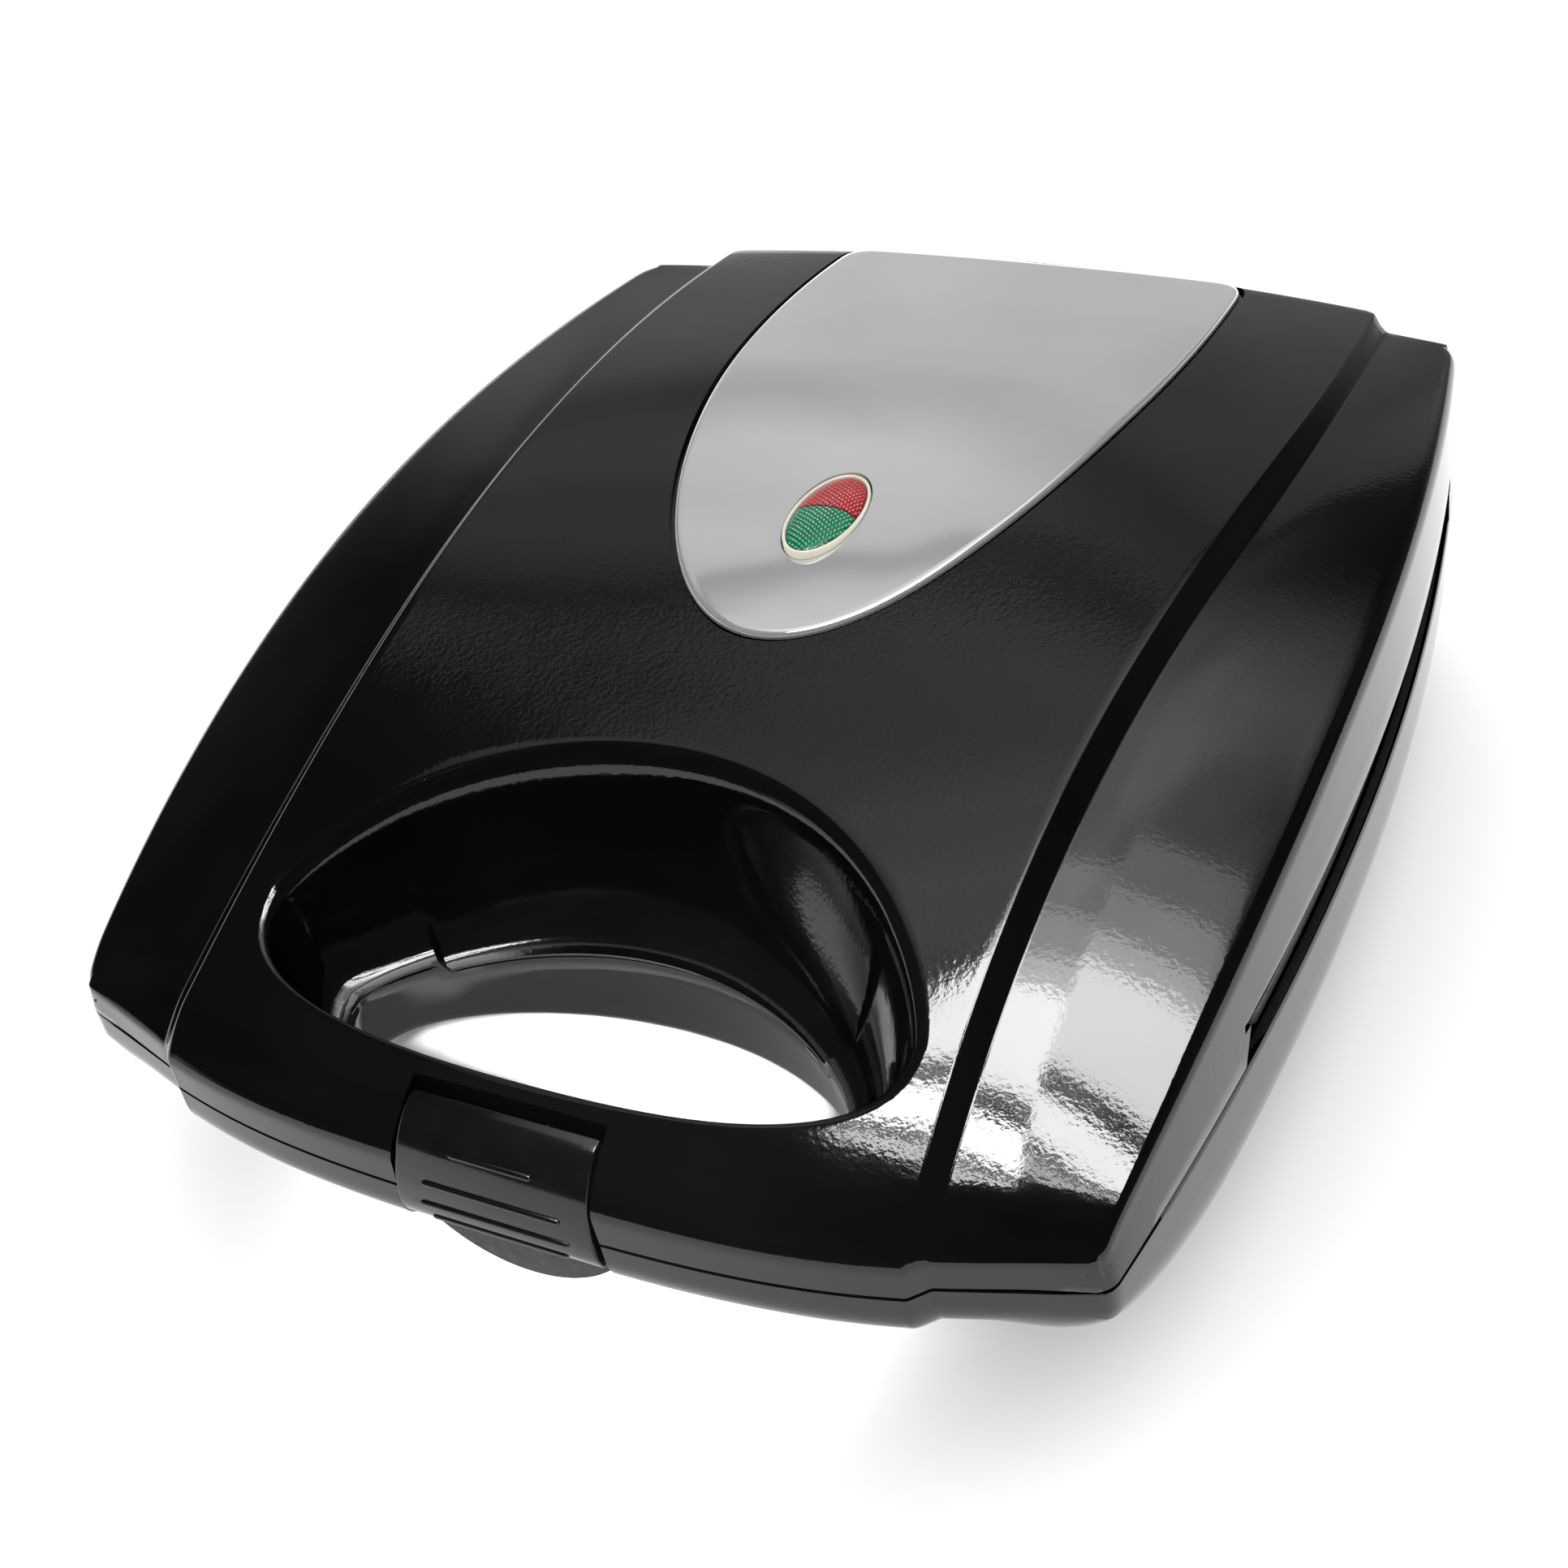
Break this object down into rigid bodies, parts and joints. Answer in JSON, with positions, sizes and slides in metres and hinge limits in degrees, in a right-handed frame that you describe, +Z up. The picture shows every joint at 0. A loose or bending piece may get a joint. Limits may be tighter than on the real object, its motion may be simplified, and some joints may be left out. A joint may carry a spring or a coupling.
{
  "type": "donut maker",
  "caption": "Clamshell donut maker with ring-mould plates, a finger opening in its handle, a front latch and a lamp window.",
  "frame": {"origin": "middle of the footprint at table level, under the closed appliance", "axes": "+X to the right seen from the handle, +Y to the rear, +Z up"},
  "size_m": [0.2208, 0.2843, 0.0907],
  "materials": {
    "gloss_black": "high gloss, fine orange peel",
    "latch_black": "satin",
    "matte_black": "fine matte",
    "nonstick": "satin non-stick coating on cast aluminium",
    "element_sheath": "dull drawn tube",
    "reflector_sheet": "mill finish sheet",
    "zinc_steel": "bright zinc plate",
    "gland_rubber": "matte",
    "foot_rubber": "matte",
    "ceramic": "matte ceramic",
    "glass_sleeve": "woven glass sleeve",
    "stainless": "bright, almost mirror",
    "cream_plastic": "satin",
    "red_lens": "clear prismatic",
    "green_lens": "clear prismatic",
    "neon_glass": "clear"
  },
  "bodies": {
    "base": {"lower_shell": "gloss_black", "lower_cooking_plate": "nonstick", "lower_heating_element": "element_sheath", "lower_heat_reflector": "reflector_sheet", "lower_plate_screw_1": "zinc_steel", "lower_plate_screw_2": "zinc_steel", "lower_plate_screw_3": "zinc_steel", "lower_plate_screw_4": "zinc_steel", "foot_front_left": "foot_rubber", "foot_front_right": "foot_rubber", "foot_rear_left": "foot_rubber", "foot_rear_right": "foot_rubber", "latch_catch": "matte_black", "hinge_pin_left": "zinc_steel", "hinge_pin_right": "zinc_steel", "cord_gland": "gland_rubber", "terminal_block": "ceramic", "thermostat": "zinc_steel", "thermal_fuse": "glass_sleeve", "wire_left": "glass_sleeve", "wire_right": "glass_sleeve"},
    "lid": {"upper_shell": "gloss_black", "upper_cooking_plate": "nonstick", "upper_heating_element": "element_sheath", "upper_heat_reflector": "reflector_sheet", "upper_plate_screw_1": "zinc_steel", "upper_plate_screw_2": "zinc_steel", "upper_plate_screw_3": "zinc_steel", "upper_plate_screw_4": "zinc_steel", "top_panel": "stainless", "lens_bezel": "cream_plastic", "red_lens": "red_lens", "green_lens": "green_lens", "lamp_holder": "cream_plastic", "lamp_red": "neon_glass", "lamp_green": "neon_glass", "latch_pin": "zinc_steel", "latch_spring": "zinc_steel"},
    "latch": {"latch": "latch_black"}
  },
  "joints": [
    {"name": "lid_hinge", "type": "hinge", "parent": "base", "child": "lid", "pos_m": [0, 0.1373, 0.046], "axis": [-1, 0, 0], "range_deg": [0, 100]},
    {"name": "latch_pivot", "type": "hinge", "parent": "lid", "child": "latch", "pos_m": [0, -0.1334, 0.0555], "axis": [-1, 0, 0], "range_deg": [0, 15], "stiffness_Nm_per_rad": 0.05, "springref_deg": -5.73}
  ]
}
